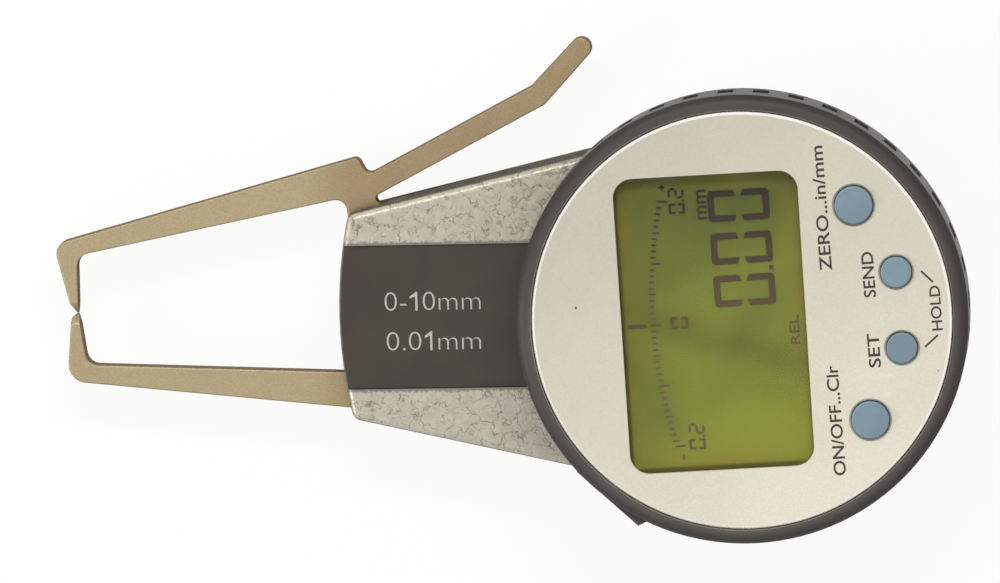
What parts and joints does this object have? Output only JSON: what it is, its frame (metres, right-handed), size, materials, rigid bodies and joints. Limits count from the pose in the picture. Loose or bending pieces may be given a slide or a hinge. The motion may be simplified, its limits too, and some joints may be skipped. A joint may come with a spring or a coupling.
{
  "type": "digital external caliper gauge",
  "caption": "Hand-held gauge with two slim arms and a thumb lever, a tapered painted housing and a round turning display with keys, for thin walls.",
  "frame": {"origin": "on the rear cover's outer face, under the axis of the round display", "axes": "+X along the handle away from the jaws, +Y towards the thumb lever, +Z out of the display"},
  "size_m": [0.1228, 0.0667, 0.02],
  "materials": {
    "hammertone_paint": "grey-beige hammertone paint over a diecast alloy",
    "cover_paint": "satin grey-beige paint",
    "tempered_steel": "satin ground tool steel with a straw tint",
    "label_print": "dark grey printed film",
    "bezel": "dark grey textured plastic",
    "face": "fine silver paint",
    "lens": "clear acrylic",
    "lcd": "yellow-green liquid crystal panel",
    "key_blue": "light steel blue moulding",
    "rubber": "soft black rubber",
    "black_plastic": "black moulding",
    "steel": "turned steel",
    "screw_steel": "plated steel",
    "spring_steel": "bright spring wire",
    "brass": "machined brass",
    "bronze": "sintered bronze",
    "board": "green solder mask",
    "cell_steel": "nickel plated can",
    "disc_glass": "clear glass with fine tracks",
    "cable_film": "amber polyimide film",
    "lead_red": "insulated wire",
    "washer_film": "low friction film"
  },
  "bodies": {
    "gauge_body": {"battery": "cell_steel", "battery_cap": "black_plastic", "battery_contacts": "spring_steel", "battery_holder": "black_plastic", "battery_leads": "lead_red", "battery_seal": "rubber", "bearing_bridge": "brass", "bridge_screws": "screw_steel", "clamp_dowels": "steel", "clamp_screws": "screw_steel", "cover_screws": "screw_steel", "encoder_board": "board", "encoder_screws": "screw_steel", "encoder_socket": "black_plastic", "fixed_arm": "tempered_steel", "flex_cable": "cable_film", "friction_washer": "washer_film", "hairspring": "spring_steel", "hairspring_stud": "brass", "holder_screws": "screw_steel", "housing": "hammertone_paint", "label_plate": "label_print", "pinion_bushes": "bronze", "pivot_bushes": "bronze", "rear_cover": "cover_paint", "return_spring": "spring_steel", "rotation_stop": "steel", "spring_anchor": "steel", "stop_pin": "steel"},
    "measuring_arm": {"moving_arm": "tempered_steel", "arm_hub": "steel", "pivot_shaft": "steel", "sector_gear": "brass", "sector_rivet": "steel", "spring_post": "steel"},
    "encoder_rotor": {"pinion_shaft": "steel", "encoder_disc": "disc_glass", "hairspring_collet": "brass"},
    "display_head": {"bezel_case": "bezel", "case_back": "bezel", "case_screws": "screw_steel", "retaining_ring": "spring_steel", "face_plate": "face", "window": "lens", "lcd_panel": "lcd", "lcd_holder": "black_plastic", "contact_strips": "rubber", "display_board": "board", "board_screws": "screw_steel", "display_chip": "black_plastic", "display_socket": "black_plastic", "key_mat": "rubber", "data_connector": "black_plastic", "port_cover": "rubber"},
    "key_zero": {"key_zero": "key_blue"},
    "key_data": {"key_data": "key_blue"},
    "key_limits": {"key_limits": "key_blue"},
    "key_power": {"key_power": "key_blue"}
  },
  "joints": [
    {"name": "arm_hinge", "type": "hinge", "parent": "gauge_body", "child": "measuring_arm", "pos_m": [-0.0484, 0.004, 0.005], "axis": [0, 0, -1], "range_deg": [0, 14.1], "stiffness_Nm_per_rad": 0.02, "springref_deg": -28.65, "deforming": ["return_spring"]},
    {"name": "encoder_spin", "type": "hinge", "parent": "gauge_body", "child": "encoder_rotor", "pos_m": [-0.02555, 0, 0.005], "axis": [0, 0, -1], "range_deg": [-90, 1], "deforming": ["hairspring"]},
    {"name": "head_turn", "type": "hinge", "parent": "gauge_body", "child": "display_head", "pos_m": [0, 0, 0.0103], "axis": [0, 0, 1], "range_deg": [-137.3, 132.7], "deforming": ["flex_cable"]},
    {"name": "key_zero_press", "type": "slide", "parent": "display_head", "child": "key_zero", "axis": [0, 0, -1], "range_m": [0, 0.0005], "stiffness_N_per_m": 1000, "springref_m": -0.0003},
    {"name": "key_data_press", "type": "slide", "parent": "display_head", "child": "key_data", "axis": [0, 0, -1], "range_m": [0, 0.0005], "stiffness_N_per_m": 1000, "springref_m": -0.0003},
    {"name": "key_limits_press", "type": "slide", "parent": "display_head", "child": "key_limits", "axis": [0, 0, -1], "range_m": [0, 0.0005], "stiffness_N_per_m": 1000, "springref_m": -0.0003},
    {"name": "key_power_press", "type": "slide", "parent": "display_head", "child": "key_power", "axis": [0, 0, -1], "range_m": [0, 0.0005], "stiffness_N_per_m": 1000, "springref_m": -0.0003}
  ],
  "couplings": [
    {"joint": "encoder_spin", "follows": "arm_hinge", "ratio": -6.25}
  ]
}
